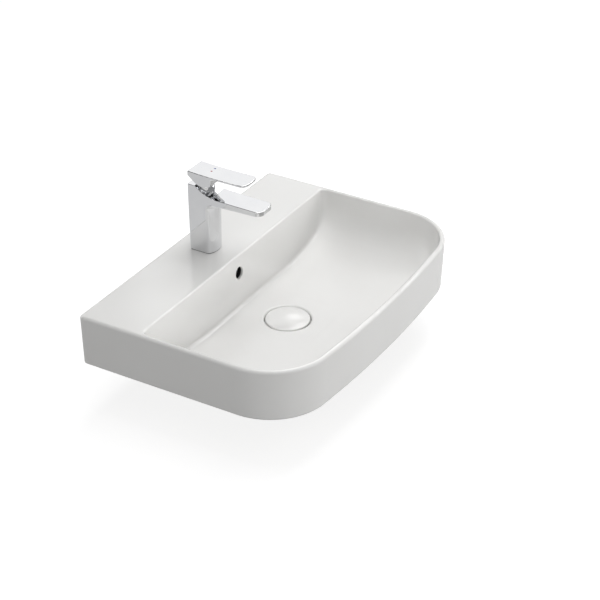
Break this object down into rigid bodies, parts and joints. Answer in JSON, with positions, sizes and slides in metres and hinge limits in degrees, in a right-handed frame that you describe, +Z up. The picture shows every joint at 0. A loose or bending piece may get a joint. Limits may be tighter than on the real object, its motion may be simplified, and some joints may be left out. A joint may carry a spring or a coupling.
{
  "type": "countertop basin",
  "caption": "White glazed countertop basin with a rear tap deck, bowed front, overflow, domed click waste and a square single-lever chrome mixer tap.",
  "frame": {"origin": "where the waste axis crosses the counter top, which is the plane of the apron's lower rim", "axes": "+X to the user's right, +Y towards the wall, +Z up"},
  "size_m": [0.5996, 0.4198, 0.3413],
  "materials": {
    "glaze": "gloss white glaze",
    "chrome": "polished",
    "brass": "satin",
    "steel": "satin",
    "rubber": "matte",
    "white_plastic": "satin",
    "grey_plastic": "satin",
    "disc_ceramic": "polished",
    "grey_plug": "satin",
    "hot_red": "gloss",
    "cold_blue": "gloss"
  },
  "bodies": {
    "base": {"basin_body": "glaze", "click_housing": "white_plastic", "click_spring": "steel", "waste_body": "chrome", "waste_top_gasket": "rubber", "waste_bottom_gasket": "rubber", "waste_slip_washer": "white_plastic", "waste_backnut": "grey_plastic", "tap_body": "chrome", "tap_base_gasket": "rubber", "aerator_shell": "chrome", "aerator_insert": "grey_plastic", "aerator_seal": "rubber", "cartridge_base": "white_plastic", "cartridge_seals": "rubber", "fixed_disc": "disc_ceramic", "cartridge_housing": "white_plastic", "cartridge_nut": "brass", "dome_ring": "chrome", "fixing_stud": "steel", "horseshoe_gasket": "rubber", "horseshoe_plate": "steel", "fixing_nut": "steel"},
    "swing": {"cartridge_rotor": "white_plastic", "rotor_pin": "steel"},
    "disc": {"moving_disc": "disc_ceramic", "disc_carrier": "white_plastic"},
    "lever": {"cartridge_stem": "white_plastic", "lever": "chrome", "lever_screw": "steel", "screw_plug": "grey_plug", "hot_dot": "hot_red", "cold_dot": "cold_blue"},
    "plug": {"waste_cover": "glaze", "cover_carrier": "white_plastic", "cover_seal": "rubber", "waste_plunger": "brass"}
  },
  "joints": [
    {"name": "lever_swing", "type": "hinge", "parent": "base", "child": "swing", "pos_m": [0, 0.162, 0.21], "axis": [0, 0, 1], "range_deg": [-45, 45]},
    {"name": "lever_lift", "type": "hinge", "parent": "swing", "child": "lever", "pos_m": [0, 0.162, 0.21], "axis": [-1, 0, 0], "range_deg": [0, 22]},
    {"name": "disc_slide", "type": "slide", "parent": "swing", "child": "disc", "axis": [0, -1, 0], "range_m": [0, 0.0044]},
    {"name": "cover_slide", "type": "slide", "parent": "base", "child": "plug", "axis": [0, 0, 1], "range_m": [0, 0.008], "deforming": ["click_spring"]}
  ],
  "couplings": [
    {"joint": "disc_slide", "follows": "lever_lift", "m_per_rad": 0.011317}
  ]
}
